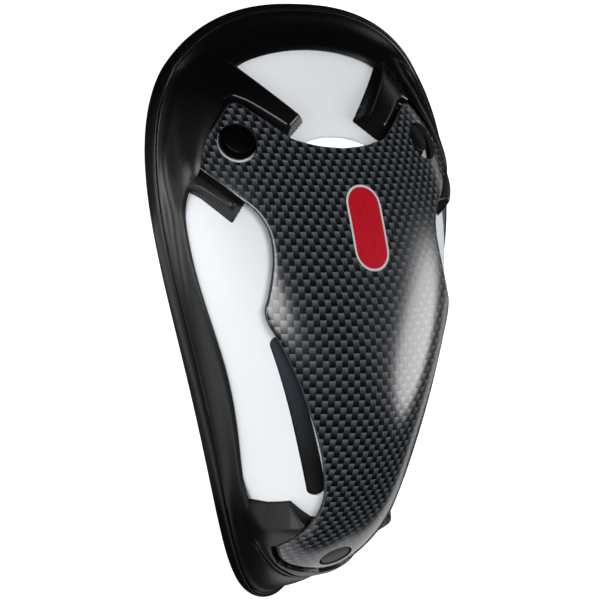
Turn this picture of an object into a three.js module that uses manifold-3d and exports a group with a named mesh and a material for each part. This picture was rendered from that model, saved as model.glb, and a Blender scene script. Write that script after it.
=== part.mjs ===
// Abdominal guard for sport. A hard vented cup stands in a rubber edge moulding, and a separate
// front plate stands off the cup on three rubber pegs, its ears and foot held in rubber sockets.
// Millimetres, +Z up. X runs across the guard, Y towards the waist, and the rim rests on Z = 0.
import * as THREE from 'three';
import { mergeVertices } from 'three/addons/utils/BufferGeometryUtils.js';
import Module from 'manifold-3d';

// The rim's outer edge seen from above is an egg
const RIM = { halfLength: 89, middleHalfWidth: 48.3, egg: 0.57, bluntness: 0.85 };

// The rim lies flat at both ends and arches up along the sides
const ARCH = { rise: 13.5, middleY: -10, reachToWaist: 79.5, reachToToe: 75.5, power: 1.25 };

// Cup wall
const CUP = { halfLength: 81, middleY: -1, bluntness: 0.85, foot: 3, thickness: 2.5 };
const FIT_GAP = 0.3;
const HOLLOW_DROP = 20;

// Cross sections of the cup, evenly spaced by angle from the toe to the waist end.
// breadth is the control half width, crown the control height of the ridge line, shoulder the
// squareness of the section, and collar the height of the moulding's collar over the rim's underside.
const SECTIONS = [
  { breadth: 23, crown: 3, shoulder: 2.6, collar: 26 },
  { breadth: 24.5, crown: 17, shoulder: 3, collar: 23 },
  { breadth: 26, crown: 38, shoulder: 2.9, collar: 12 },
  { breadth: 29, crown: 49.7, shoulder: 2, collar: 10.2 },
  { breadth: 37.6, crown: 49.2, shoulder: 2.2, collar: 13.4 },
  { breadth: 47, crown: 39.8, shoulder: 2.5, collar: 8.4 },
  { breadth: 54.8, crown: 29.7, shoulder: 2.25, collar: 8 },
  { breadth: 62, crown: 16.3, shoulder: 1.85, collar: 8 },
  { breadth: 69, crown: 8.2, shoulder: 1.9, collar: 8 },
  { breadth: 72, crown: 3, shoulder: 2, collar: 8 },
];

// Edge moulding: thickness of the collar on the cup wall
const COLLAR_THICKNESS = 1.3;

// Rim section from the inner lip round the outer bead to the cup wall.
// across is the share of the way from the cup wall to the rim's edge, out is added in mm,
// and up is over the rim's underside.
const RIM_SECTION = [
  { across: 0, out: -3.5, up: 0.8 },
  { across: 0, out: -2.7, up: 0 },
  { across: 1, out: -1.6, up: 0 },
  { across: 1, out: -0.4, up: 0.7 },
  { across: 1, out: 0, up: 2.2 },
  { across: 1, out: 0, up: 3.6 },
  { across: 1, out: -0.6, up: 5 },
  { across: 1, out: -2, up: 5.6 },
  { across: 0.45, out: 0, up: 4.8 },
  { across: 0.2, out: 0, up: 5.4 },
  { across: 0, out: 0.8, up: 7.5 },
  { across: 0, out: -3.5, up: 7.5 },
];

// Front plate
const PLATE_STANDOFF = 2.2;
const PLATE_THICKNESS = 1.5;
const PLATE_CLEARANCE = 0.5;
const SEAT_CLEARING_RADIUS = 7.5;

// Right half of the plate's outline seen from above
const PLATE_TOP = new THREE.Vector2(0, 49.2);
const PLATE_TOP_CURVE = [[8, 49.8], [13.5, 50.8], [17.5, 51.9], [20.7, 54]];
const EAR_TOP_CORNER = new THREE.Vector2(32.5, 62.4);
const EAR_OUTER_CORNER = new THREE.Vector2(48.4, 45.4);
const EAR_CORNER_CUT = 2.6;
const PLATE_SIDE_CURVE = [
  [38.4, 36], [33.8, 32], [31.2, 26.5], [31.2, 19], [33.4, 9], [34.4, 5.2], [33.4, 1], [30.1, -5],
  [25.2, -15.5], [18.4, -33], [15.4, -43], [14.1, -50], [14.6, -57], [17.2, -66],
];
const PLATE_FOOT_CURVE = [[14.2, -70.4], [9.6, -72.7], [0, -74.4]];

// Pegs and the plate's holes
const HOLE_RADIUS = 6;
const PEG_RADIUS = 4.9;
const PEG_TOP = 4.6;
const PEG_FOOT = 0.4;
const PEG_EDGE_ROUND = 0.6;
const SHANK_RADIUS = 2.6;
const INNER_HEAD_TOP = -3.4;
const INNER_HEAD_THICKNESS = 1.1;
const EAR_PEG = new THREE.Vector2(33.6, 48.8);
const TOE_PEG = new THREE.Vector2(0, -66.8);

// Sockets of the edge moulding
const SOCKET_HEIGHT = 4.8;
const SOCKET_OUTLINE = [
  [10.2, 57.6], [26.3, 72.2], [44, 72.6], [60, 56], [60, 44], [47.2, 35.4],
  [40.4, 29.8], [35.6, 35], [30, 38], [30, 48], [24, 50], [17, 52.6],
];

// Toe socket: its outline from the side as Y and Z, and the ribs that step down from it
const TOE_SOCKET_HEIGHT = 4.4;
const TOE_SOCKET_SIDE = [
  [-95, 29], [-74, 28.4], [-70, 28], [-67.6, 25], [-65.6, 18], [-63, 11], [-57, 11], [-54, 22.4],
  [-53.4, 28], [-51.6, 33.7], [-50.6, 36.1], [-56.9, 40.1], [-62, 60], [-95, 60],
];
const TOE_RIBS = { count: 3, back: 1.2, down: 2.5, heightStep: 0.75 };

// Openings of the cup
const VENT_MIDDLE_Y = 38.6;
const VENT_HALF_WIDTH = 22;
const VENT_HALF_HEIGHT = 13;
const SLOT_UPPER_END = new THREE.Vector2(28.7, -4.6);
const SLOT_LOWER_END = new THREE.Vector2(13.9, -46.6);
const SLOT_HALF_WIDTH = 2.3;
const STRIP_RECESS = 0.5;
const STRIP_THICKNESS = 1.7;

// Fineness of the facets
const LENGTH_STEPS = 26;
const ACROSS_STEPS = 16;
const RIM_STEPS = 52;
const ROUND_STEPS = 14;
const CURVE_STEPS = 3;
const MERGE_DISTANCE = 1e-4;

const wasm = await Module();
wasm.setup();

// A smooth curve through the sections' control values, at a fraction of the way from the toe
function sectionValue(column, fraction) {
  const last = SECTIONS.length - 1;
  const control = (row) => {
    if (row < 0) return 2 * SECTIONS[0][column] - SECTIONS[1][column];
    if (row > last) return 2 * SECTIONS[last][column] - SECTIONS[last - 1][column];
    return SECTIONS[row][column];
  };
  const place = fraction * last;
  const row = Math.min(Math.floor(place), last - 1);
  const f = place - row;
  const weights = [(1 - f) ** 3, 3 * f ** 3 - 6 * f ** 2 + 4, 1 + 3 * f + 3 * f ** 2 - 3 * f ** 3, f ** 3];
  return weights.reduce((sum, weight, i) => sum + weight * control(row - 1 + i), 0) / 6;
}

// A point of the rim's outer edge, from the toe at -90 degrees to the waist end at +90
function rimPoint(angle) {
  const width = RIM.middleHalfWidth * Math.abs(Math.cos(angle)) ** RIM.bluntness;
  return new THREE.Vector2(width * (1 + RIM.egg * Math.sin(angle)), RIM.halfLength * Math.sin(angle));
}

// A point of the cup wall's foot seen from above
function wallPoint(angle) {
  const breadth = sectionValue('breadth', angle / Math.PI + 0.5);
  return new THREE.Vector2(
    breadth * Math.abs(Math.cos(angle)) ** CUP.bluntness,
    CUP.middleY + CUP.halfLength * Math.sin(angle),
  );
}

// Height of the rim's underside
function archHeight(y) {
  const reach = y > ARCH.middleY ? ARCH.reachToWaist : ARCH.reachToToe;
  const share = Math.min(Math.abs(y - ARCH.middleY) / reach, 1);
  return ARCH.rise * Math.max(Math.cos((share * Math.PI) / 2), 0) ** ARCH.power;
}

// A point of the cup's outer face: angle runs along the guard, turn from one foot over to the other
function cupPoint(angle, turn) {
  const wall = wallPoint(angle);
  const fraction = angle / Math.PI + 0.5;
  const power = 2 / sectionValue('shoulder', fraction);
  const foot = archHeight(wall.y) + CUP.foot;
  const rise = Math.max(sectionValue('crown', fraction) - foot, 0);
  return new THREE.Vector3(
    wall.x * Math.sign(turn) * Math.abs(Math.sin(turn)) ** power,
    wall.y,
    foot + rise * Math.abs(Math.cos(turn)) ** power,
  );
}

// The outward direction of the cup's outer face
function cupNormal(angle, turn) {
  const step = 0.002;
  const quarter = Math.PI / 2;
  if (Math.abs(angle) > quarter - step) return new THREE.Vector3(0, Math.sign(angle), 0);
  const along = cupPoint(angle + step, turn).sub(cupPoint(angle - step, turn));
  const upper = Math.min(turn + step, quarter);
  const lower = Math.max(turn - step, -quarter);
  const across = cupPoint(angle, upper).sub(cupPoint(angle, lower));
  return across.cross(along).normalize();
}

// The point of the cup's outer face above a place seen from above, and its outward direction
function cupPlace(x, y) {
  const angle = Math.asin((y - CUP.middleY) / CUP.halfLength);
  const power = 2 / sectionValue('shoulder', angle / Math.PI + 0.5);
  const turn = Math.asin(Math.abs(x / wallPoint(angle).x) ** (1 / power)) * Math.sign(x);
  return { point: cupPoint(angle, turn), normal: cupNormal(angle, turn) };
}

// A closed solid from triangles given by their corners
function solidFromTriangles(corners) {
  const positions = new Float32Array(corners.flatMap((corner) => corner.toArray()));
  const loose = new THREE.BufferGeometry();
  loose.setAttribute('position', new THREE.BufferAttribute(positions, 3));
  return solidFromGeometry(loose);
}

function solidFromGeometry(geometry) {
  const bare = geometry.clone();
  bare.deleteAttribute('normal');
  bare.deleteAttribute('uv');
  const merged = mergeVertices(bare, MERGE_DISTANCE);
  const index = Array.from(merged.index.array);
  const triangles = [];
  for (let i = 0; i < index.length; i += 3) {
    const [a, b, c] = index.slice(i, i + 3);
    if (a !== b && b !== c && c !== a) triangles.push(a, b, c);
  }
  const mesh = new wasm.Mesh({
    numProp: 3,
    vertProperties: new Float32Array(merged.attributes.position.array),
    triVerts: new Uint32Array(triangles),
  });
  return new wasm.Manifold(mesh);
}

function geometryFromSolid(solid) {
  const mesh = solid.getMesh();
  const geometry = new THREE.BufferGeometry();
  geometry.setAttribute('position', new THREE.BufferAttribute(mesh.vertProperties, 3));
  geometry.setIndex(new THREE.BufferAttribute(mesh.triVerts, 1));
  return geometry;
}

// Two triangles for a four-sided facet
function facet(a, b, c, d) {
  return [a, b, c, a, c, d];
}

// The solid under the cup's outer face moved out by offset, with its foot lowered by drop
function domeSolid(offset, drop) {
  const quarter = Math.PI / 2;
  const rows = [];
  for (let i = 0; i <= LENGTH_STEPS; i += 1) {
    const angle = -quarter + (Math.PI * i) / LENGTH_STEPS;
    const row = [];
    for (let j = 0; j <= ACROSS_STEPS; j += 1) {
      const turn = -quarter + (Math.PI * j) / ACROSS_STEPS;
      row.push(cupPoint(angle, turn).addScaledVector(cupNormal(angle, turn), offset));
    }
    const lowered = (point) => new THREE.Vector3(point.x, point.y, point.z - drop);
    rows.push([lowered(row[0]), ...row, lowered(row[ACROSS_STEPS])]);
  }
  const corners = [];
  for (let i = 0; i < LENGTH_STEPS; i += 1) {
    const near = rows[i];
    const far = rows[i + 1];
    for (let j = 0; j < near.length; j += 1) {
      const next = (j + 1) % near.length;
      corners.push(...facet(near[j], near[next], far[next], far[j]));
    }
  }
  for (let j = 1; j < rows[0].length - 1; j += 1) {
    corners.push(rows[0][0], rows[0][j + 1], rows[0][j]);
    corners.push(rows[LENGTH_STEPS][0], rows[LENGTH_STEPS][j], rows[LENGTH_STEPS][j + 1]);
  }
  return solidFromTriangles(corners);
}

// An upright prism over an outline seen from above
function uprightPrism(points) {
  const below = -20;
  const height = 120;
  const shape = new THREE.Shape(points);
  const geometry = new THREE.ExtrudeGeometry(shape, { depth: height, bevelEnabled: false });
  geometry.translate(0, 0, below);
  return solidFromGeometry(geometry);
}

// A prism running across the guard, over an outline seen from the side
function crossPrism(points) {
  const width = 160;
  const shape = new THREE.Shape(points.map(([y, z]) => new THREE.Vector2(y, z)));
  const geometry = new THREE.ExtrudeGeometry(shape, { depth: width, bevelEnabled: false });
  geometry.translate(0, 0, -width / 2);
  geometry.applyMatrix4(new THREE.Matrix4().set(0, 0, 1, 0, 1, 0, 0, 0, 0, 1, 0, 0, 0, 0, 0, 1));
  return solidFromGeometry(geometry);
}

// A round bar through the cup, square to its face
function roundBar(place, radius) {
  const length = 40;
  const { point, normal } = cupPlace(place.x, place.y);
  const geometry = new THREE.CylinderGeometry(radius, radius, length, ROUND_STEPS);
  geometry.applyQuaternion(new THREE.Quaternion().setFromUnitVectors(new THREE.Vector3(0, 1, 0), normal));
  geometry.translate(point.x, point.y, point.z);
  return solidFromGeometry(geometry);
}

function mirrored(points) {
  return points.map((point) => new THREE.Vector2(-point.x, point.y)).reverse();
}

function mirroredPlace(place) {
  return new THREE.Vector2(-place.x, place.y);
}

// An outline moved out by distance, each point along the mean of its two edges' directions
function grown(points, distance) {
  const count = points.length;
  return points.map((point, i) => {
    const before = points[(i + count - 1) % count];
    const after = points[(i + 1) % count];
    const along = after.clone().sub(before).normalize();
    return new THREE.Vector2(point.x + along.y * distance, point.y - along.x * distance);
  });
}

// The plate's whole outline, anticlockwise
function plateOutline() {
  const vectors = (pairs) => pairs.map(([x, y]) => new THREE.Vector2(x, y));
  const towards = (from, to) => from.clone().add(to.clone().sub(from).setLength(EAR_CORNER_CUT));
  const topCurve = vectors(PLATE_TOP_CURVE);
  const sideCurve = vectors(PLATE_SIDE_CURVE);
  const half = new THREE.Path();
  half.moveTo(PLATE_TOP.x, PLATE_TOP.y);
  half.splineThru(topCurve);
  const topIn = towards(EAR_TOP_CORNER, topCurve[topCurve.length - 1]);
  const topOut = towards(EAR_TOP_CORNER, EAR_OUTER_CORNER);
  const outerIn = towards(EAR_OUTER_CORNER, EAR_TOP_CORNER);
  const outerOut = towards(EAR_OUTER_CORNER, sideCurve[0]);
  half.lineTo(topIn.x, topIn.y);
  half.quadraticCurveTo(EAR_TOP_CORNER.x, EAR_TOP_CORNER.y, topOut.x, topOut.y);
  half.lineTo(outerIn.x, outerIn.y);
  half.quadraticCurveTo(EAR_OUTER_CORNER.x, EAR_OUTER_CORNER.y, outerOut.x, outerOut.y);
  half.lineTo(sideCurve[0].x, sideCurve[0].y);
  half.splineThru(sideCurve.slice(1));
  half.splineThru(vectors(PLATE_FOOT_CURVE));
  const right = half.getPoints(CURVE_STEPS);
  const left = mirrored(right).slice(1, -1);
  return [...right, ...left].reverse();
}

// A long round-ended outline between two points
function slotOutline(radius) {
  const along = SLOT_LOWER_END.clone().sub(SLOT_UPPER_END);
  const start = along.angle();
  const steps = 6;
  const points = [];
  for (let i = 0; i <= steps; i += 1) {
    const turn = start - Math.PI / 2 + (Math.PI * i) / steps;
    points.push(new THREE.Vector2(Math.cos(turn), Math.sin(turn)).multiplyScalar(radius).add(SLOT_LOWER_END));
  }
  for (let i = 0; i <= steps; i += 1) {
    const turn = start + Math.PI / 2 + (Math.PI * i) / steps;
    points.push(new THREE.Vector2(Math.cos(turn), Math.sin(turn)).multiplyScalar(radius).add(SLOT_UPPER_END));
  }
  return points;
}

function ventOutline() {
  const ellipse = new THREE.EllipseCurve(0, VENT_MIDDLE_Y, VENT_HALF_WIDTH, VENT_HALF_HEIGHT);
  return ellipse.getPoints(ROUND_STEPS).slice(0, -1);
}

// The rim: one section swept round the guard
function rimSolid() {
  const rings = [];
  for (let i = 0; i < RIM_STEPS; i += 1) {
    const around = (2 * Math.PI * i) / RIM_STEPS - Math.PI / 2;
    const side = Math.cos(around) < 0 ? -1 : 1;
    const angle = Math.asin(THREE.MathUtils.clamp(Math.sin(around), -1, 1));
    const wall = wallPoint(angle);
    const edge = rimPoint(angle);
    const outward = edge.clone().sub(wall).normalize();
    rings.push(RIM_SECTION.map((row) => {
      const place = wall.clone().lerp(edge, row.across).addScaledVector(outward, row.out);
      return new THREE.Vector3(side * place.x, place.y, archHeight(place.y) + row.up);
    }));
  }
  const corners = [];
  rings.forEach((ring, i) => {
    const next = rings[(i + 1) % RIM_STEPS];
    ring.forEach((point, j) => {
      const k = (j + 1) % ring.length;
      corners.push(...facet(point, next[j], next[k], ring[k]));
    });
  });
  return solidFromTriangles(corners);
}

// The side outline that cuts off the collar's upper edge
function collarSide() {
  const beyond = 20;
  const points = [];
  for (let i = 0; i <= LENGTH_STEPS; i += 1) {
    const fraction = i / LENGTH_STEPS;
    const { y } = wallPoint(Math.PI * (fraction - 0.5));
    points.push([y, archHeight(y) + sectionValue('collar', fraction)]);
  }
  const [toeY, toeZ] = points[0];
  const [waistY, waistZ] = points[LENGTH_STEPS];
  const waistEnd = [[waistY + beyond, waistZ], [waistY + beyond, -beyond]];
  const toeEnd = [[toeY - beyond, -beyond], [toeY - beyond, toeZ]];
  return [...points, ...waistEnd, ...toeEnd].reverse();
}

const outline = plateOutline();
const platePrism = uprightPrism(outline);
const pegPlaces = { left_peg: mirroredPlace(EAR_PEG), right_peg: EAR_PEG, toe_peg: TOE_PEG };
const slotRight = slotOutline(SLOT_HALF_WIDTH);
const stripRight = slotOutline(SLOT_HALF_WIDTH - FIT_GAP);

function shellSolid() {
  let solid = domeSolid(0, 0).subtract(domeSolid(-CUP.thickness, HOLLOW_DROP));
  solid = solid.subtract(uprightPrism(ventOutline()));
  solid = solid.subtract(uprightPrism(slotRight)).subtract(uprightPrism(mirrored(slotRight)));
  for (const place of Object.values(pegPlaces)) {
    solid = solid.subtract(roundBar(place, SHANK_RADIUS + FIT_GAP));
  }
  return solid;
}

// The toe socket and the ribs below it, each a step lower on the cup
function toeSocketSolid() {
  let solid = domeSolid(TOE_SOCKET_HEIGHT, 0).intersect(crossPrism(TOE_SOCKET_SIDE));
  for (let step = 1; step <= TOE_RIBS.count; step += 1) {
    const side = TOE_SOCKET_SIDE.map(([y, z]) => [y - step * TOE_RIBS.back, z - step * TOE_RIBS.down]);
    const dome = domeSolid(TOE_SOCKET_HEIGHT - step * TOE_RIBS.heightStep, 0);
    solid = solid.add(dome.intersect(crossPrism(side)));
  }
  return solid;
}

// Collar, sockets and rim of the edge moulding, cut clear of the plate, the pegs and the cup
function edgeMouldingSolid() {
  const socketRight = SOCKET_OUTLINE.map(([x, y]) => new THREE.Vector2(x, y)).reverse();
  const sockets = uprightPrism(socketRight).add(uprightPrism(mirrored(socketRight)));
  let solid = domeSolid(SOCKET_HEIGHT, 0).intersect(sockets);
  for (const place of [EAR_PEG, mirroredPlace(EAR_PEG)]) {
    solid = solid.subtract(roundBar(place, SEAT_CLEARING_RADIUS));
  }
  solid = solid.add(toeSocketSolid());
  const plateRoom = uprightPrism(grown(outline, PLATE_CLEARANCE));
  solid = solid.subtract(plateRoom.subtract(domeSolid(PLATE_STANDOFF - FIT_GAP, 0)));
  solid = solid.add(domeSolid(COLLAR_THICKNESS, 0).intersect(crossPrism(collarSide())));
  solid = solid.subtract(domeSolid(FIT_GAP, HOLLOW_DROP));
  solid = solid.add(rimSolid().subtract(domeSolid(FIT_GAP, FIT_GAP)));
  return solid.subtract(roundBar(TOE_PEG, PEG_RADIUS + FIT_GAP));
}

function plateSolid() {
  let solid = domeSolid(PLATE_STANDOFF + PLATE_THICKNESS, 0).subtract(domeSolid(PLATE_STANDOFF, HOLLOW_DROP));
  solid = solid.intersect(platePrism);
  for (const place of Object.values(pegPlaces)) {
    solid = solid.subtract(roundBar(place, HOLE_RADIUS));
  }
  return solid;
}

function stripSolid(points) {
  const wall = domeSolid(-STRIP_RECESS, 0).subtract(domeSolid(-STRIP_RECESS - STRIP_THICKNESS, HOLLOW_DROP));
  return wall.intersect(uprightPrism(points));
}

function pegGeometry() {
  const profile = [
    [0, INNER_HEAD_TOP - INNER_HEAD_THICKNESS],
    [PEG_RADIUS, INNER_HEAD_TOP - INNER_HEAD_THICKNESS],
    [PEG_RADIUS, INNER_HEAD_TOP],
    [SHANK_RADIUS, INNER_HEAD_TOP],
    [SHANK_RADIUS, PEG_FOOT],
    [PEG_RADIUS, PEG_FOOT],
    [PEG_RADIUS, PEG_TOP - PEG_EDGE_ROUND],
    [PEG_RADIUS - PEG_EDGE_ROUND, PEG_TOP],
    [0, PEG_TOP],
  ];
  return new THREE.LatheGeometry(profile.map(([x, y]) => new THREE.Vector2(x, y)), ROUND_STEPS);
}

const FINISH = {
  shell: { color: 0xeef2f5, roughness: 0.35, metalness: 0 },
  rubber: { color: 0x18181a, roughness: 0.5, metalness: 0 },
  plate: { color: 0x2b3036, roughness: 0.2, metalness: 0 },
};

const guard = new THREE.Group();

function addPiece(name, geometry, finish) {
  const piece = new THREE.Mesh(geometry, new THREE.MeshStandardMaterial(FINISH[finish]));
  piece.name = name;
  guard.add(piece);
  return piece;
}

addPiece('shell', geometryFromSolid(shellSolid()), 'shell');
addPiece('edge_moulding', geometryFromSolid(edgeMouldingSolid()), 'rubber');
addPiece('front_plate', geometryFromSolid(plateSolid()), 'plate');
addPiece('right_flex_strip', geometryFromSolid(stripSolid(stripRight)), 'rubber');
addPiece('left_flex_strip', geometryFromSolid(stripSolid(mirrored(stripRight))), 'rubber');
for (const [name, place] of Object.entries(pegPlaces)) {
  const { point, normal } = cupPlace(place.x, place.y);
  const peg = addPiece(name, pegGeometry(), 'rubber');
  peg.position.copy(point);
  peg.quaternion.setFromUnitVectors(new THREE.Vector3(0, 1, 0), normal);
}

export default guard;
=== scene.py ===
import bpy
import numpy as np
from mathutils import Matrix, Vector


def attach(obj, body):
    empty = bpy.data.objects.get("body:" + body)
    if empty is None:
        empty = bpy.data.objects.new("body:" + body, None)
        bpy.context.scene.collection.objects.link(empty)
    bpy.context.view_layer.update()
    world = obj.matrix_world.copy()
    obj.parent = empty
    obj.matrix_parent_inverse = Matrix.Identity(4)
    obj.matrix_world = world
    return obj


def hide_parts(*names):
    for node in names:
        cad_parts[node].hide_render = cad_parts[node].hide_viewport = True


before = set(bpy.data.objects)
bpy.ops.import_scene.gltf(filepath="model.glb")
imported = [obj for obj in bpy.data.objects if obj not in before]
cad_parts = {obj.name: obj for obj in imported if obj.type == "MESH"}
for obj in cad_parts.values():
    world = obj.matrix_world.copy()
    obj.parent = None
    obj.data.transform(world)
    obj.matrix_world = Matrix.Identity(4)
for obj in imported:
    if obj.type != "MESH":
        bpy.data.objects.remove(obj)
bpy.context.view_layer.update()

# Sizes are in millimetres until a mesh is placed
MM = 0.001
QUARTER_TURN = np.pi / 2

# Cup: breadth and crown are control values of the sections, evenly spaced by angle from toe to waist
SECTION_COLUMNS = ("breadth", "crown", "shoulder", "collar")
SECTIONS = np.array((
    (23.0, 3.0, 2.60, 26.0),
    (24.5, 17.0, 3.00, 23.0),
    (26.0, 38.0, 2.90, 12.0),
    (29.0, 49.7, 2.00, 10.2),
    (37.6, 49.2, 2.20, 13.4),
    (47.0, 39.8, 2.50, 8.4),
    (54.8, 29.7, 2.25, 8.0),
    (62.0, 16.3, 1.85, 8.0),
    (69.0, 8.2, 1.90, 8.0),
    (72.0, 3.0, 2.00, 8.0),
))
CUP_HALF_LENGTH = 81.0
CUP_MIDDLE = -1.0
CUP_BLUNTNESS = 0.85
CUP_FOOT = 3.0
CUP_THICKNESS = 2.5

# Rim of the moulding seen from above, and the arch of its sides
RIM_HALF_LENGTH = 89.0
RIM_HALF_WIDTH = 48.3
RIM_EGG = 0.57
RIM_BLUNTNESS = 0.85
ARCH_RISE = 13.5
ARCH_MIDDLE = -10.0
ARCH_TO_WAIST = 79.5
ARCH_TO_TOE = 75.5
ARCH_POWER = 1.25

# Steps of the search for a place on the cup
SETTLE_ROUNDS = 14
SETTLE_SHARE = 0.8
NEAREST_POLE = 0.9995
POLE_GAP = 0.03
LEAN_LIMIT = 30.0
LEAN_ROUNDS = 24
SLOPE_REACH = 0.5

# Rim section: share of the way out to the edge, mm added outwards, mm up, share of the cove's height
RIM_SECTION = (
    (0.00, -3.40, 1.00, 0.00),
    (0.00, -2.80, 0.20, 0.00),
    (0.00, -2.00, 0.00, 0.00),
    (0.50, 0.00, 0.00, 0.00),
    (1.00, -1.70, 0.00, 0.00),
    (1.00, -0.75, 0.25, 0.00),
    (1.00, -0.18, 1.05, 0.00),
    (1.00, 0.00, 2.30, 0.00),
    (1.00, 0.00, 3.30, 0.00),
    (1.00, -0.18, 4.25, 0.00),
    (1.00, -0.60, 4.90, 0.00),
    (1.00, -1.10, 5.10, 0.00),
    (1.00, -1.65, 4.98, 0.00),
    (0.70, 0.00, 5.20, 0.03),
    (0.57, 0.00, 5.25, 0.09),
    (0.44, 0.00, 5.15, 0.20),
    (0.31, 0.00, 5.00, 0.38),
    (0.19, 0.00, 4.85, 0.60),
    (0.09, 0.00, 4.75, 0.83),
    (0.00, 0.00, 4.75, 1.00),
    (0.00, -1.60, 4.60, 0.93),
    (0.00, 0.50, 4.00, 0.00),
    (0.00, 0.50, 2.90, 0.00),
    (0.00, -3.40, 2.90, 0.00),
)
COVE_HIGHEST = 13.0
COVE_BELOW_COLLAR = 0.15
COVE_BASE = 4.75
COVE_LIFT_POWER = 1.5
SOCKET_COVE_UP = 6.0
SOCKET_COVE_OUT = 4.0
TOE_COVE_UP = 3.0
TOE_COVE_OUT = 1.6
TOE_FRONT_COVE_UP = 3.6
TOE_FRONT_COVE_OUT = -0.4
SOCKET_COVE_START = (28.0, 46.0)
SOCKET_COVE_END = (77.0, 64.0)
TOE_COVE_START = (-46.0, -56.0)
TOE_FRONT_COVE_START = (-64.0, -74.0)
RIM_STEPS = 320

# Rubber laid over the cup
COLLAR_THICKNESS = 1.2
COLLAR_DROP = 1.0
COLLAR_EDGE_WIDTH = 0.75
COLLAR_EDGE_SHIFT = 0.25
COLLAR_ROUND = 0.7
LEAST_STEEPNESS = 0.25
RUBBER_CLEARANCE = 0.1
BARE = -0.5
SOCKET_HEIGHT = 4.6
MIDDLE_OF_SOCKET = 3.0
SOCKET_OUTLINE = (
    (9.5, 57.6), (26.3, 72.2), (30.0, 76.0), (44.0, 76.0), (62.0, 56.0), (62.0, 44.0), (47.0, 35.4),
    (40.1, 29.2), (35.2, 35.4), (30.0, 38.0), (26.0, 46.0), (24.0, 50.0), (17.0, 52.4),
)
SOCKET_DRAFT = 2.0
SOCKET_ROUND = 0.7
POCKET_FLOOR = 1.3
POCKET_DRAFT = 2.6
POCKET_CLEARANCE = 0.75
POCKET_ROUND = 1.4
POCKET_POINTS_PER_SIDE = 70
FLANGE_FOOT = 4.0
FLANGE_DRAFT = 0.32
FLANGE_ROUND = 1.8

# Rubber round the toe: the edges of its block are seen from the side, as length and height
TOE_EDGE = (
    (-57.0, 9.0), (-55.0, 16.0), (-54.2, 22.4), (-54.0, 28.0), (-52.9, 33.7), (-52.3, 36.1), (-52.0, 60.0),
)
TOE_SIDE = (
    (-95.0, 19.6), (-78.0, 19.8), (-75.3, 19.6), (-72.0, 18.6), (-69.5, 17.4), (-67.0, 15.0), (-64.6, 11.0),
    (-62.0, 9.0), *TOE_EDGE[:-1], (-56.9, 40.1), (-62.0, 60.0), (-95.0, 60.0),
)
TOE_HEIGHT = 4.3
TOE_DRAFT = 3.5
TOE_ROUND = 0.8
TOE_BLEND = 0.5
TOE_EDGE_HEIGHT = 0.5
TOE_EDGE_DRAFT = 0.75
TOE_EDGE_ROUND = 0.4
TOE_CORNER_HEIGHT = 1.2
TOE_CORNER_START = (-66.0, -57.0)
TOE_TAPER = 0.28
TOE_TAPER_TOP = 25.5
TOE_TAPER_START = (-64.0, -70.0)
TOE_VALLEY = 1.7
TOE_VALLEY_FOOT = 11.0
TOE_VALLEY_DRAFT = 0.32
TOE_VALLEY_ROUND = 1.2
TOE_POCKET_CLEARANCE = 0.2
TOE_POCKET_DRAFT = 6.0
TOE_POCKET_ROUND = 0.5
LEAST_FLATNESS = 0.3

# Grooves round the toe: distance from the middle, height
TOE_GROOVES = (
    ((0.0, 24.6), (4.4, 24.8), (10.8, 25.3), (15.3, 24.2), (17.7, 23.0), (19.5, 22.0), (21.5, 20.4)),
    ((0.0, 22.2), (2.4, 22.3), (8.8, 22.9), (12.4, 22.2), (16.1, 21.2), (18.0, 20.2), (19.6, 18.9)),
    ((0.0, 20.6), (3.0, 20.8), (8.4, 20.9), (11.2, 20.2), (13.9, 18.9), (16.0, 17.6), (17.6, 16.4)),
)
GROOVE_DEPTH = 0.8
GROOVE_HALF_WIDTH = 0.42
GROOVE_FADE = 3.0
GROOVE_START = (-62.0, -64.0)

# Rows and columns of the sheets that are wrapped over the cup
SHELL_END = 84.0
SHELL_ROWS = 150
SHELL_COLUMNS = 110
ROOM_ROWS = 120
ROOM_COLUMNS = 80
ROOM_DROP = 20.0
MOULDING_BANDS = (-63.0, -45.0, 25.0)
MOULDING_BAND_ROWS = (165, 75, 50, 165)
COLLAR_COLUMNS = 56
COLLAR_CROWDING = 1.6
CROWN_COLUMNS = 92
CROWN_CROWDING = 1.5

# Front plate: half outline seen from above
PLATE_STANDOFF = 2.2
PLATE_THICKNESS = 1.5
PLATE_TOP_CURVE = ((0.0, 49.2), (8.0, 49.8), (13.5, 50.8), (17.5, 51.9), (20.7, 54.0))
EAR_TOP_CORNER = (32.5, 62.4)
EAR_OUTER_CORNER = (48.4, 45.4)
EAR_CORNER_CUT = 3.6
PLATE_SIDE_CURVE = (
    (38.4, 36.0), (33.8, 32.0), (31.2, 26.5), (31.2, 19.0), (33.4, 9.0), (34.4, 5.2), (33.4, 1.0),
    (30.1, -5.0), (25.2, -15.5), (18.4, -33.0), (15.4, -43.0), (14.1, -50.0), (14.6, -57.0), (17.2, -66.0),
)
PLATE_FOOT_CURVE = ((17.2, -66.0), (14.2, -70.4), (9.6, -72.7), (0.0, -74.4))
PLATE_POINTS_PER_SIDE = 260
PLATE_ROWS = 26
PLATE_ROW_CROWDING = 1.15
PLATE_SPINE_SHARE = 0.6
PLATE_SPINE_ENDS = (-57.0, 33.0)
PLATE_FACE_DEPTH = 0.1

# Edge of the plate: inset from the outline, height over the underside
PLATE_EDGE = (
    (1.0, 0.0), (0.42, 0.42), (0.08, 0.82), (0.0, 1.0), (0.0, 1.2), (0.05, 1.36), (0.18, 1.46), (0.42, 1.5),
)

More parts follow.
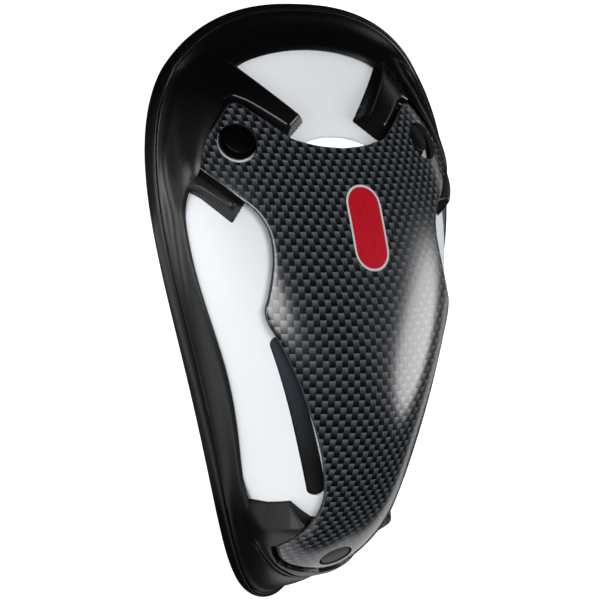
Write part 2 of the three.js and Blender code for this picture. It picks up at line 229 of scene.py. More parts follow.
# Weave, each tow with a painted sheen: it is drawn out over the bulge, and its cells are tighter and lean a
# little towards the ends
CROWN_TIGHTNESS = 0.95
TOP_TIGHTNESS = 0.115
TOP_TIGHTNESS_START = (0.0, 50.0)
FOOT_TIGHTNESS = 0.235
FOOT_TIGHTNESS_START = (5.0, -62.0)
SIDE_TIGHTNESS = 0.03
EAR_TIGHTNESS = 0.03
EAR_TIGHTNESS_START = (10.0, 40.0)
EAR_REACH = 36.0
TOP_LEAN = 0.21
TOP_LEAN_START = (5.0, 30.0)
FOOT_LEAN = 0.14
FOOT_LEAN_START = (12.0, -25.0)
FOOT_LEAN_END = (-70.0, -40.0)
FOOT_CROWDING = 0.07
FOOT_CROWDING_START = (-10.0, -60.0)
CROWN_ENDS = (-80.0, 70.0)
CROWN_STATIONS = 600

# Holes, plugs, slots and strips
HOLE_RADIUS = 6.0
TOE_HOLE_RADIUS = 5.15
SEAT_CLEARING = 7.6
PLUG_RADIUS = 4.7
EAR_PLUG_TOP = 2.9
TOE_PLUG_TOP = 3.3
PLUG_FOOT = 0.4
SHANK_RADIUS = 2.6
INNER_HEAD_TOP = -3.4
INNER_HEAD_THICKNESS = 1.1
EAR_PLUG = (33.6, 48.8)
EAR_PLUG_SET = (32.4, 50.3)
EAR_PLUG_FOOT_RADIUS = 5.6
TOE_PLUG_FOOT_RADIUS = 4.75
PLUG_FOOT_TOP = 1.0
PLUG_ROUND = 0.5
TOE_PLUG = (0.0, -66.8)
HOLE_BAR_LENGTH = 24.0
VENT_MIDDLE = 38.6
VENT_HALF_WIDTH = 22.0
VENT_HALF_HEIGHT = 13.0
VENT_LIP_RADIUS = 1.25
VENT_LIP_FLATNESS = 0.99
VENT_CUT = (5.0, 60.0)
SLOT_UPPER_END = (28.7, -4.6)
SLOT_LOWER_END = (13.9, -46.6)
SLOT_HALF_WIDTH = 2.3
SLOT_CUT = (20.0, 60.0)
STRIP_GAP = 0.15
STRIP_RECESS = 0.5

# Section of a strip: share of its half width, height over its recessed face
STRIP_SECTION = (
    (-1.0, -1.7), (-1.0, -0.3), (-0.9, -0.06), (-0.7, 0.0), (-0.3, 0.04), (0.0, 0.05),
    (0.3, 0.04), (0.7, 0.0), (0.9, -0.06), (1.0, -0.3), (1.0, -1.7),
)


# Shapes of the cup and the rim

def section_value(column, angle):
    control = SECTIONS[:, SECTION_COLUMNS.index(column)]
    before = 2 * control[0] - control[1]
    after = 2 * control[-1] - control[-2]
    control = np.concatenate(([before], control, [after]))
    spans = len(SECTIONS) - 1
    place = np.clip(np.asarray(angle) / np.pi + 0.5, 0, 1) * spans
    row = np.minimum(np.floor(place).astype(int), spans - 1)
    f = place - row
    first = (1 - f) ** 3 * control[row]
    second = (3 * f ** 3 - 6 * f ** 2 + 4) * control[row + 1]
    third = (1 + 3 * f + 3 * f ** 2 - 3 * f ** 3) * control[row + 2]
    return (first + second + third + f ** 3 * control[row + 3]) / 6


def arch_height(y):
    reach = np.where(y > ARCH_MIDDLE, ARCH_TO_WAIST, ARCH_TO_TOE)
    share = np.minimum(np.abs(y - ARCH_MIDDLE) / reach, 1)
    return ARCH_RISE * np.maximum(np.cos(share * QUARTER_TURN), 0) ** ARCH_POWER


def wall_half_width(angle):
    return section_value("breadth", angle) * np.abs(np.cos(angle)) ** CUP_BLUNTNESS


def wall_place(angle):
    return np.stack((wall_half_width(angle), CUP_MIDDLE + CUP_HALF_LENGTH * np.sin(angle)), -1)


def rim_place(angle):
    width = RIM_HALF_WIDTH * np.abs(np.cos(angle)) ** RIM_BLUNTNESS
    return np.stack((width * (1 + RIM_EGG * np.sin(angle)), RIM_HALF_LENGTH * np.sin(angle)), -1)


def cup_point(angle, turn):
    angle, turn = np.broadcast_arrays(angle, turn)
    y = CUP_MIDDLE + CUP_HALF_LENGTH * np.sin(angle)
    power = 2 / section_value("shoulder", angle)
    foot = arch_height(y) + CUP_FOOT
    rise = np.maximum(section_value("crown", angle) - foot, 0)
    x = wall_half_width(angle) * np.sign(turn) * np.abs(np.sin(turn)) ** power
    z = foot + rise * np.abs(np.cos(turn)) ** power
    return np.stack((x, y, z), -1)


def cup_normal(angle, turn):
    step = 0.002
    angle, turn = np.broadcast_arrays(angle, turn)
    inside = np.clip(angle, -QUARTER_TURN + 3 * step, QUARTER_TURN - 3 * step)
    along = cup_point(inside + step, turn) - cup_point(inside - step, turn)
    upper = np.minimum(turn + step, QUARTER_TURN)
    lower = np.maximum(turn - step, -QUARTER_TURN)
    across = cup_point(inside, upper) - cup_point(inside, lower)
    normal = np.cross(across, along)
    return normal / np.linalg.norm(normal, axis=-1, keepdims=True)


def angle_at(y):
    return np.arcsin(np.clip((y - CUP_MIDDLE) / CUP_HALF_LENGTH, -NEAREST_POLE, NEAREST_POLE))


def turn_at(x, angle):
    share = np.clip(np.abs(x) / wall_half_width(angle), 0, 1)
    return np.sign(x) * np.arcsin(share ** (section_value("shoulder", angle) / 2))


def on_cup(x, y, offset):
    x, y, offset = np.broadcast_arrays(x, y, offset)
    angle = angle_at(y)
    turn = turn_at(x, angle)
    return cup_point(angle, turn) + cup_normal(angle, turn) * offset[..., None]


def over_plan(x, y, offset):
    x, y, offset = np.broadcast_arrays(x, y, offset)
    base_x = x.astype(float)
    base_y = y.astype(float)
    for _ in range(SETTLE_ROUNDS):
        point = on_cup(base_x, base_y, offset)
        base_x = base_x + SETTLE_SHARE * (x - point[..., 0])
        base_y = base_y + SETTLE_SHARE * (y - point[..., 1])
    return on_cup(base_x, base_y, offset)


def smooth_least(a, b, blend):
    share = np.clip(0.5 + 0.5 * (b - a) / blend, 0, 1)
    return b + (a - b) * share - blend * share * (1 - share)


def smooth_most(a, b, blend):
    return -smooth_least(-a, -b, blend)


def eased(value, start, end):
    share = np.clip((value - start) / (end - start), 0, 1)
    return share * share * (3 - 2 * share)


def inside_distance(x, y, outline):
    nearest = np.full(np.shape(x), 1e9)
    within = np.zeros(np.shape(x), bool)
    for (ax, ay), (bx, by) in zip(outline, np.roll(outline, -1, axis=0)):
        ex = bx - ax
        ey = by - ay
        share = np.clip(((x - ax) * ex + (y - ay) * ey) / (ex * ex + ey * ey), 0, 1)
        nearest = np.minimum(nearest, np.hypot(x - ax - share * ex, y - ay - share * ey))
        if ey != 0:
            within ^= ((ay > y) != (by > y)) & (x < ax + ex * (y - ay) / ey)
    return np.where(within, nearest, -nearest)


# Flat outlines

def smooth_path(points, steps, closed=False):
    points = np.asarray(points, float)
    if closed:
        ends = np.concatenate((points[-1:], points, points[:2]))
    else:
        ends = np.concatenate((2 * points[:1] - points[1:2], points, 2 * points[-1:] - points[-2:-1]))
    f = np.arange(steps)[:, None] / steps
    pieces = []
    for i in range(len(ends) - 3):
        a, b, c, d = ends[i:i + 4]
        cubic = -a + 3 * b - 3 * c + d
        square = 2 * a - 5 * b + 4 * c - d
        pieces.append(b + 0.5 * (f * (c - a) + f ** 2 * square + f ** 3 * cubic))
    if not closed:
        pieces.append(points[-1:])
    return np.concatenate(pieces)


def rounded_corner(before, corner, after, cut):
    before, corner, after = (np.asarray(p, float) for p in (before, corner, after))
    start = corner + (before - corner) * cut / np.linalg.norm(before - corner)
    end = corner + (after - corner) * cut / np.linalg.norm(after - corner)
    f = np.linspace(0, 1, 9)[:, None]
    return (1 - f) ** 2 * start + 2 * f * (1 - f) * corner + f ** 2 * end


def evenly_spaced(points, count):
    lengths = np.linalg.norm(np.diff(points, axis=0), axis=1)
    travelled = np.concatenate(([0], np.cumsum(lengths)))
    wanted = np.linspace(0, travelled[-1], count)
    return np.stack([np.interp(wanted, travelled, points[:, k]) for k in range(2)], -1)


def plate_outline(points_per_side):
    top = smooth_path(PLATE_TOP_CURVE, 8)
    side = smooth_path(PLATE_SIDE_CURVE, 8)
    foot = smooth_path(PLATE_FOOT_CURVE, 8)
    top_corner = rounded_corner(top[-1], EAR_TOP_CORNER, EAR_OUTER_CORNER, EAR_CORNER_CUT)
    outer_corner = rounded_corner(EAR_TOP_CORNER, EAR_OUTER_CORNER, side[0], EAR_CORNER_CUT)
    half = np.concatenate((top, top_corner, outer_corner, side, foot[1:]))
    right = evenly_spaced(half, points_per_side)
    left = right[-2:0:-1] * (-1, 1)
    return np.concatenate((right, left))


def outline_outward(outline):
    along = np.roll(outline, -1, axis=0) - np.roll(outline, 1, axis=0)
    along /= np.linalg.norm(along, axis=1, keepdims=True)
    return np.stack((-along[:, 1], along[:, 0]), -1)


def slot_outline(half_width):
    upper = np.array(SLOT_UPPER_END)
    lower = np.array(SLOT_LOWER_END)
    start = np.arctan2(*(lower - upper)[::-1])
    turn = np.linspace(-QUARTER_TURN, QUARTER_TURN, 13)[:, None] + start
    lower_end = lower + half_width * np.concatenate((np.cos(turn), np.sin(turn)), 1)
    upper_end = upper - half_width * np.concatenate((np.cos(turn), np.sin(turn)), 1)
    return np.concatenate((lower_end, upper_end))


# Mesh making

def choose(piece):
    if bpy.context.mode != "OBJECT":
        bpy.ops.object.mode_set(mode="OBJECT")
    bpy.ops.object.select_all(action="DESELECT")
    piece.select_set(True)
    bpy.context.view_layer.objects.active = piece


def tidy_mesh(piece, merge=2e-6):
    choose(piece)
    bpy.ops.object.mode_set(mode="EDIT")
    bpy.ops.mesh.select_all(action="SELECT")
    bpy.ops.mesh.remove_doubles(threshold=merge)
    bpy.ops.mesh.dissolve_degenerate(threshold=1e-7)
    bpy.ops.mesh.select_all(action="SELECT")
    bpy.ops.mesh.normals_make_consistent(inside=False)
    bpy.ops.object.mode_set(mode="OBJECT")


def wrapped_sheet(name, points, charts=None):
    rows, columns = points.shape[:2]
    bpy.ops.object.select_all(action="DESELECT")
    bpy.ops.mesh.primitive_grid_add(x_subdivisions=columns - 1, y_subdivisions=rows - 1, size=1)
    piece = bpy.context.object
    piece.name = name
    piece.data.name = name
    piece.data.vertices.foreach_set("co", (points * MM).ravel())
    for chart_name, chart in (charts or {}).items():
        corner_points = np.empty(len(piece.data.loops), int)
        piece.data.loops.foreach_get("vertex_index", corner_points)
        layer = piece.data.uv_layers.new(name=chart_name)
        layer.data.foreach_set("uv", chart.reshape(-1, 2)[corner_points].ravel())
    piece.data.update()
    tidy_mesh(piece)
    return piece


def with_caps(rings):
    first = np.repeat(rings[:1].mean(axis=1, keepdims=True), rings.shape[1], axis=1)
    last = np.repeat(rings[-1:].mean(axis=1, keepdims=True), rings.shape[1], axis=1)
    return np.concatenate((first, rings, last))


def round_sheet(name, rings):
    return wrapped_sheet(name, np.concatenate((rings, rings[:, :1]), axis=1))


def upright_prism(name, outline, low, high):
    rings = np.stack([np.column_stack((outline, np.full(len(outline), z))) for z in (low, high)])
    return round_sheet(name, with_caps(rings))


def combine(piece, tool, operation):
    choose(piece)
    bpy.ops.object.modifier_add(type="BOOLEAN")
    step = piece.modifiers[-1]
    step.operation = operation
    step.solver = "EXACT"
    step.object = tool
    bpy.ops.object.modifier_apply(modifier=step.name)
    bpy.data.objects.remove(tool)


def dome(name, offset, drop, length_steps, across_steps):
    angle = np.linspace(-QUARTER_TURN + POLE_GAP, QUARTER_TURN - POLE_GAP, length_steps)[:, None]
    turn = np.linspace(-QUARTER_TURN, QUARTER_TURN, across_steps)[None, :]
    points = cup_point(angle, turn) + cup_normal(angle, turn) * offset
    low = points[:, [-1, 0]].copy()
    low[..., 2] = points[:, :1, 2] - drop
    return round_sheet(name, with_caps(np.concatenate((points, low), axis=1)))


def cup_frame(place):
    point = on_cup(place[0], place[1], 0.0)
    lifted = on_cup(place[0], place[1], 1.0)
    turn = Vector((0, 0, 1)).rotation_difference(Vector(lifted - point))
    return Matrix.Translation(Vector(point) * MM) @ turn.to_matrix().to_4x4()


def hole_bar(place, radius):
    bpy.ops.object.select_all(action="DESELECT")
    bpy.ops.mesh.primitive_cylinder_add(vertices=64, radius=radius * MM, depth=HOLE_BAR_LENGTH * MM)
    bar = bpy.context.object
    bar.matrix_world = cup_frame(place)
    bpy.ops.object.transform_apply(location=True, rotation=True, scale=True)
    return bar


def smooth(piece, degrees):
    choose(piece)
    bpy.ops.object.shade_smooth_by_angle(angle=np.radians(degrees))


def mirrored(place):
    return (-place[0], place[1])


def make_shell():
    angle = np.radians(np.linspace(-SHELL_END, SHELL_END, SHELL_ROWS))[:, None]
    turn = np.linspace(-QUARTER_TURN, QUARTER_TURN, SHELL_COLUMNS)[None, :]
    outer = cup_point(angle, turn)
    inner = outer - cup_normal(angle, turn) * CUP_THICKNESS
    piece = round_sheet("cup_shell", with_caps(np.concatenate((outer, inner[:, ::-1]), axis=1)))
    around = np.linspace(0, 2 * np.pi, 121)[:-1]
    vent = np.stack((VENT_HALF_WIDTH * np.cos(around), VENT_MIDDLE + VENT_HALF_HEIGHT * np.sin(around)), -1)
    outward = np.stack((np.cos(around) * VENT_HALF_HEIGHT, np.sin(around) * VENT_HALF_WIDTH), -1)
    outward /= np.linalg.norm(outward, axis=1, keepdims=True)
    cut_line = vent + outward * VENT_LIP_RADIUS
    combine(piece, upright_prism("vent_cut", cut_line, *VENT_CUT), "DIFFERENCE")
    combine(piece, vent_lip(cut_line, outward), "UNION")
    slot = slot_outline(SLOT_HALF_WIDTH)
    combine(piece, upright_prism("slot_cut", slot, *SLOT_CUT), "DIFFERENCE")
    combine(piece, upright_prism("slot_cut", slot * (-1, 1), *SLOT_CUT), "DIFFERENCE")
    for place in (EAR_PLUG_SET, mirrored(EAR_PLUG_SET), TOE_PLUG):
        combine(piece, hole_bar(place, SHANK_RADIUS + STRIP_GAP), "DIFFERENCE")
    tidy_mesh(piece)
    smooth(piece, degrees=40)
    return piece


def vent_lip(line, outward):
    rings = []
    for turn in np.linspace(0, 2 * np.pi, 17)[:-1]:
        place = line + outward * (VENT_LIP_RADIUS * np.cos(turn))
        height = VENT_LIP_RADIUS * np.sin(turn) * VENT_LIP_FLATNESS - VENT_LIP_RADIUS
        rings.append(over_plan(place[:, 0], place[:, 1], height))
    rings = np.stack(rings, 1)
    return round_sheet("vent_lip", np.concatenate((rings, rings[:1])))


def rubber_height(base, normal):
    over_rim = base[..., 2] - arch_height(base[..., 1])
    steepness = np.maximum(np.sqrt(np.maximum(1 - normal[..., 2] ** 2, 0)), LEAST_STEEPNESS)
    below_edge = (section_value("collar", angle_at(base[..., 1])) - over_rim) / steepness
    covered = (below_edge + COLLAR_EDGE_SHIFT) / COLLAR_EDGE_WIDTH
    collar = np.clip(BARE + (COLLAR_THICKNESS - BARE) * covered, BARE, COLLAR_THICKNESS)
    raised = base + normal * MIDDLE_OF_SOCKET
    x = np.abs(raised[..., 0])
    y = raised[..., 1]
    z = raised[..., 2]
    beyond_plate = -inside_distance(x, y, plate_outline(POCKET_POINTS_PER_SIDE))
    pocket = POCKET_FLOOR + POCKET_DRAFT * np.maximum(beyond_plate - POCKET_CLEARANCE, 0)
    spread = COLLAR_THICKNESS + FLANGE_DRAFT * np.maximum(over_rim - FLANGE_FOOT, 0)
    bar = SOCKET_DRAFT * inside_distance(x, y, np.array(SOCKET_OUTLINE))
    bar = smooth_least(np.maximum(bar, BARE), np.full(x.shape, SOCKET_HEIGHT), SOCKET_ROUND)
    bar = smooth_least(smooth_least(bar, spread, FLANGE_ROUND), pocket, POCKET_ROUND)
    plug = on_cup(EAR_PLUG[0], EAR_PLUG[1], 0.0)
    from_plug = np.linalg.norm(base - plug, axis=-1)
    from_plug = np.minimum(from_plug, np.linalg.norm(base * (-1, 1, 1) - plug, axis=-1))
    bar = np.where(from_plug < SEAT_CLEARING, BARE, bar)
    toe_height = TOE_HEIGHT + TOE_CORNER_HEIGHT * eased(y, *TOE_CORNER_START)
    toe_height -= TOE_TAPER * np.maximum(TOE_TAPER_TOP - z, 0) * eased(y, *TOE_TAPER_START)
    toe = np.maximum(TOE_DRAFT * inside_distance(y, z, np.array(TOE_SIDE)), BARE)
    edge_y, edge_z = np.array(TOE_EDGE).T
    past_edge = np.maximum(np.interp(z, edge_z, edge_y) - y, 0)
    toe = smooth_least(toe, TOE_EDGE_HEIGHT + TOE_EDGE_DRAFT * past_edge, TOE_EDGE_ROUND)
    toe = smooth_least(toe, toe_height, TOE_ROUND)
    for groove in TOE_GROOVES:
        line_x, line_z = np.array(groove).T
        fall = ((z - np.interp(x, line_x, line_z)) / GROOVE_HALF_WIDTH) ** 2
        depth = GROOVE_DEPTH * eased(x, line_x[-1], line_x[-1] - GROOVE_FADE) * eased(y, *GROOVE_START)
        toe = toe - depth * np.exp(-fall)
    beyond_foot = beyond_plate / np.maximum(normal[..., 2], LEAST_FLATNESS)
    toe_pocket = POCKET_FLOOR + TOE_POCKET_DRAFT * np.maximum(beyond_foot - TOE_POCKET_CLEARANCE, 0)
    valley = TOE_VALLEY + TOE_VALLEY_DRAFT * np.maximum(over_rim - TOE_VALLEY_FOOT, 0)
    toe = smooth_least(smooth_least(toe, valley, TOE_VALLEY_ROUND), toe_pocket, TOE_POCKET_ROUND)
    return smooth_most(smooth_most(collar, bar, COLLAR_ROUND), toe, TOE_BLEND)


def wall_lean(wall, outward, up):
    low = np.zeros(len(wall))
    high = np.full(len(wall), LEAN_LIMIT)
    for _ in range(LEAN_ROUNDS):
        middle = (low + high) / 2
        place = wall - outward * middle[:, None]
        height = on_cup(place[:, 0], place[:, 1], 0.0)[:, 2] - arch_height(wall[:, 1])
        under = height < up
        low = np.where(under, middle, low)
        high = np.where(under, high, middle)
    return np.where(up > CUP_FOOT, (low + high) / 2, 0)


def make_rim():
    around = 2 * np.pi * np.arange(RIM_STEPS) / RIM_STEPS - QUARTER_TURN
    side = np.where(np.cos(around) < 0, -1, 1)
    angle = np.arcsin(np.clip(np.sin(around), -1, 1))
    wall = wall_place(angle)
    edge = rim_place(angle)
    outward = (edge - wall) / np.linalg.norm(edge - wall, axis=1, keepdims=True)
    by_socket = eased(wall[:, 1], *SOCKET_COVE_START) * eased(wall[:, 1], *SOCKET_COVE_END)
    by_toe = eased(wall[:, 1], *TOE_COVE_START)
    by_front = eased(wall[:, 1], *TOE_FRONT_COVE_START)
    cove = np.minimum(section_value("collar", angle), COVE_HIGHEST) - COVE_BELOW_COLLAR - COVE_BASE
    cove += SOCKET_COVE_UP * by_socket + TOE_COVE_UP * by_toe + TOE_FRONT_COVE_UP * by_front
    cove_out = SOCKET_COVE_OUT * by_socket + TOE_COVE_OUT * by_toe + TOE_FRONT_COVE_OUT * by_front
    columns = []
    for share, out, up, rise in RIM_SECTION:
        height = up + rise * cove
        lean = wall_lean(wall, outward, height)
        lean_above = wall_lean(wall, outward, height + SLOPE_REACH)
        lean_below = wall_lean(wall, outward, height - SLOPE_REACH)
        slope = np.arctan2(2 * SLOPE_REACH, lean_above - lean_below)
        lift = COLLAR_THICKNESS * rise ** COVE_LIFT_POWER
        sideways = out + rise * cove_out + lift * np.sin(slope) - lean * (1 - share) ** 2
        place = wall + (edge - wall) * share + outward * sideways[:, None]
        z = arch_height(place[:, 1]) + height + lift * np.cos(slope)
        columns.append(np.column_stack((place[:, 0] * side, place[:, 1], z)))
    section = np.stack(columns, 1)
    rings = np.stack([smooth_path(ring, 2, closed=True) for ring in section])
    rings[..., 2] = np.maximum(rings[..., 2], arch_height(rings[..., 1]))
    return round_sheet("rim", np.concatenate((rings, rings[:1])))


def moulding_grid():
    ends = (-QUARTER_TURN + POLE_GAP, *(angle_at(y) for y in MOULDING_BANDS), QUARTER_TURN - POLE_GAP)
    bands = zip(ends, ends[1:], MOULDING_BAND_ROWS)
    angle = np.concatenate([np.linspace(start, end, rows, endpoint=False) for start, end, rows in bands])
    angle = np.append(angle, ends[-1])
    y = CUP_MIDDLE + CUP_HALF_LENGTH * np.sin(angle)
    rise = section_value("crown", angle) - arch_height(y) - CUP_FOOT
    share = (section_value("collar", angle) - CUP_FOOT) / np.maximum(rise, 1e-3)
    edge = np.arccos(np.clip(share, 0, 1) ** (section_value("shoulder", angle) / 2))[:, None]
    outer = edge + (QUARTER_TURN - edge) * (1 - np.linspace(0, 1, COLLAR_COLUMNS)) ** COLLAR_CROWDING
    inner = edge * (1 - np.linspace(0, 1, CROWN_COLUMNS)[1:] ** CROWN_CROWDING)
    half = np.concatenate((outer, inner), axis=1)
    return angle[:, None], np.concatenate((half, -half[:, -2::-1]), axis=1)


def make_moulding():
    angle, turn = moulding_grid()
    base = cup_point(angle, turn)
    normal = cup_normal(angle, turn)
    top = base + normal * rubber_height(base, normal)[..., None]
    low = top[:, [-1, 0]].copy()
    low[..., 2] = base[:, :1, 2] - COLLAR_DROP
    piece = round_sheet("rubber_moulding", with_caps(np.concatenate((top, low), axis=1)))
    combine(piece, dome("cup_room", RUBBER_CLEARANCE, ROOM_DROP, ROOM_ROWS, ROOM_COLUMNS), "DIFFERENCE")
    combine(piece, make_rim(), "UNION")
    combine(piece, hole_bar(TOE_PLUG, TOE_PLUG_FOOT_RADIUS + STRIP_GAP), "DIFFERENCE")
    tidy_mesh(piece)
    smooth(piece, degrees=50)
    return piece


def plate_chart(x, y):
    crown_y = np.linspace(*CROWN_ENDS, CROWN_STATIONS)
    crown = on_cup(np.zeros(CROWN_STATIONS), crown_y, PLATE_STANDOFF + PLATE_THICKNESS)
    steps = np.linalg.norm(np.diff(crown, axis=0), axis=1)
    travelled = np.concatenate(([0], np.cumsum(steps)))
    travelled -= np.interp(0, crown_y, travelled)
    shares = np.linspace(0, 1, 17)
    path = over_plan(x[..., None] * shares, y[..., None], PLATE_STANDOFF + PLATE_THICKNESS)
    across = np.linalg.norm(np.diff(path, axis=-2), axis=-1).sum(-1) * np.sign(x)
    return np.stack((across, np.interp(y, crown_y, travelled)), -1)


def weave_chart(chart, y):
    across = chart[..., 0]
    tightness = CROWN_TIGHTNESS + TOP_TIGHTNESS * eased(y, *TOP_TIGHTNESS_START)
    tightness += FOOT_TIGHTNESS * eased(y, *FOOT_TIGHTNESS_START)
    beside = SIDE_TIGHTNESS + EAR_TIGHTNESS * eased(y, *EAR_TIGHTNESS_START)
    tightness += (across / EAR_REACH) ** 2 * beside
    station, step = np.linspace(*CROWN_ENDS, CROWN_STATIONS, retstep=True)
    foot_lean = FOOT_LEAN * eased(station, *FOOT_LEAN_START) * eased(station, *FOOT_LEAN_END)
    lean = TOP_LEAN * eased(station, *TOP_LEAN_START) - foot_lean
    drift = np.cumsum(lean) * step
    crowding = np.cumsum(FOOT_CROWDING * eased(station, *FOOT_CROWDING_START)) * step
    across = across * tightness + np.interp(y, station, drift)
    along = chart[..., 1] + np.interp(y, station, crowding)
    return np.stack((across, along), -1)


def make_plate():
    outline = plate_outline(PLATE_POINTS_PER_SIDE)
    outward = outline_outward(outline)
    spine_y = np.clip(outline[:, 1] * PLATE_SPINE_SHARE, *PLATE_SPINE_ENDS)
    spine = np.column_stack((np.zeros(len(outline)), spine_y))
    top = PLATE_STANDOFF + PLATE_THICKNESS
    shares = np.linspace(0, 1, PLATE_ROWS)[1:] ** PLATE_ROW_CROWDING
    inner = outline - outward * PLATE_EDGE[-1][0]
    under = outline - outward * PLATE_EDGE[0][0]
    rows = [(under * (1 - f) + spine * f, PLATE_STANDOFF) for f in shares[::-1]]
    rows += [(outline - outward * inset, PLATE_STANDOFF + height) for inset, height in PLATE_EDGE]
    rows += [(inner * (1 - f) + spine * f, top) for f in shares]
    places = np.stack([place for place, height in rows])
    places = np.concatenate((places, places[:, :1]), axis=1)
    heights = np.array([height for place, height in rows])[:, None]
    points = over_plan(places[..., 0], places[..., 1], heights)
    on_top = np.array([float(height >= top - PLATE_FACE_DEPTH) for place, height in rows])[:, None]
    face = np.stack(np.broadcast_arrays(on_top, 0 * places[..., 0]), -1)
    chart = plate_chart(places[..., 0], places[..., 1])
    charts = {"weave": weave_chart(chart, places[..., 1]), "label": chart, "face": face}
    piece = wrapped_sheet("weave_plate", points, charts)
    for place in (EAR_PLUG, mirrored(EAR_PLUG)):
        combine(piece, hole_bar(place, HOLE_RADIUS), "DIFFERENCE")
    combine(piece, hole_bar(TOE_PLUG, TOE_HOLE_RADIUS), "DIFFERENCE")
    tidy_mesh(piece)
    smooth(piece, degrees=50)
    return piece


def make_strip(name, side):
    upper = np.array(SLOT_UPPER_END)
    lower = np.array(SLOT_LOWER_END)
    along = (lower - upper) / np.linalg.norm(lower - upper)
    across = np.array((-along[1], along[0]))
    reach = SLOT_HALF_WIDTH - STRIP_GAP
    length = np.linalg.norm(lower - upper)
    stations = np.concatenate((
        -reach * np.cos(np.linspace(0.05, QUARTER_TURN, 10)),
        np.linspace(0, length, 40)[1:-1],
        length + reach * np.sin(np.linspace(0, QUARTER_TURN - 0.05, 10)),
    ))
    past = np.maximum(np.maximum(-stations, stations - length), 0)
    half = np.sqrt(np.maximum(reach ** 2 - past ** 2, 0.01))
    rings = []
    for share, height in STRIP_SECTION:
        place = upper + along * stations[:, None] + across * (half * share)[:, None]
        rings.append(over_plan(place[:, 0] * side, place[:, 1], height - STRIP_RECESS))
    piece = round_sheet(name, with_caps(np.stack(rings, 1)))
    smooth(piece, degrees=45)
    return piece


def pick_faces(piece, wanted):
    choose(piece)
    bpy.ops.object.mode_set(mode="EDIT")
    bpy.ops.mesh.select_mode(type="FACE")
    bpy.ops.mesh.select_all(action="DESELECT")
    bpy.ops.object.mode_set(mode="OBJECT")
    for face in piece.data.polygons:
        face.select = wanted(face.center, face.normal)
    bpy.ops.object.mode_set(mode="EDIT")


def push_out(height):
    bpy.ops.mesh.extrude_region_move(TRANSFORM_OT_translate={"value": (0, 0, height * MM)})


def make_plug(name, place, top, foot_radius):
    depth = PLUG_FOOT_TOP - PLUG_FOOT
    bpy.ops.object.select_all(action="DESELECT")
    bpy.ops.mesh.primitive_cylinder_add(vertices=64, radius=foot_radius * MM, depth=depth * MM)
    piece = bpy.context.object
    piece.name = name
    piece.data.name = name
    piece.location = (0, 0, (PLUG_FOOT + depth / 2) * MM)
    bpy.ops.object.transform_apply(location=True, rotation=True, scale=True)
    pick_faces(piece, lambda centre, normal: normal.z < -0.5)
    bpy.ops.mesh.inset(thickness=(foot_radius - SHANK_RADIUS) * MM)
    push_out(INNER_HEAD_TOP - PLUG_FOOT)
    push_out(0)
    bpy.ops.transform.resize(value=(PLUG_RADIUS / SHANK_RADIUS, PLUG_RADIUS / SHANK_RADIUS, 1))
    push_out(-INNER_HEAD_THICKNESS)
    pick_faces(piece, lambda centre, normal: normal.z > 0.5 and centre.z > PLUG_FOOT * MM)
    bpy.ops.mesh.inset(thickness=(foot_radius - PLUG_RADIUS) * MM)
    push_out(top - PLUG_FOOT_TOP)
    bpy.ops.mesh.bevel(offset=PLUG_ROUND * MM, segments=4, affect="EDGES")
    bpy.ops.object.mode_set(mode="OBJECT")
    piece.matrix_world = cup_frame(place)
    choose(piece)
    bpy.ops.object.transform_apply(location=True, rotation=True, scale=True)
    tidy_mesh(piece)
    smooth(piece, degrees=40)
    return piece


# Finishes

class Signal:
    def __init__(self, finish, socket):
        self.finish = finish
        self.socket = socket

    def maths(self, operation, *others):
        return self.finish.maths(operation, self, *others)

    def __add__(self, other):
        return self.maths("ADD", other)

    __radd__ = __add__

    def __sub__(self, other):
        return self.maths("SUBTRACT", other)

    def __rsub__(self, other):
        return self.finish.maths("SUBTRACT", other, self)

    def __mul__(self, other):
        return self.maths("MULTIPLY", other)

    __rmul__ = __mul__

    def __truediv__(self, other):
        return self.maths("DIVIDE", other)

    def __rtruediv__(self, other):
        return self.finish.maths("DIVIDE", other, self)

    def floor(self):
        return self.maths("FLOOR")

    def fraction(self):
        return self.maths("FRACT")

    def size(self):
        return self.maths("ABSOLUTE")

    def most(self, other):
        return self.maths("MAXIMUM", other)

    def least(self, other):
        return self.maths("MINIMUM", other)

    def above(self, other):
        return self.maths("GREATER_THAN", other)

    def power(self, other):
        return self.maths("POWER", other)

    def sine(self):
        return self.maths("SINE")

    def root(self):
        return self.maths("SQRT")

    def between(self, start, end):
        return ((self - start) / (end - start)).most(0.0).least(1.0)


# Places of a colour mix's sockets on its node
MIX_SHARE = 0
MIX_FIRST = 6
MIX_SECOND = 7


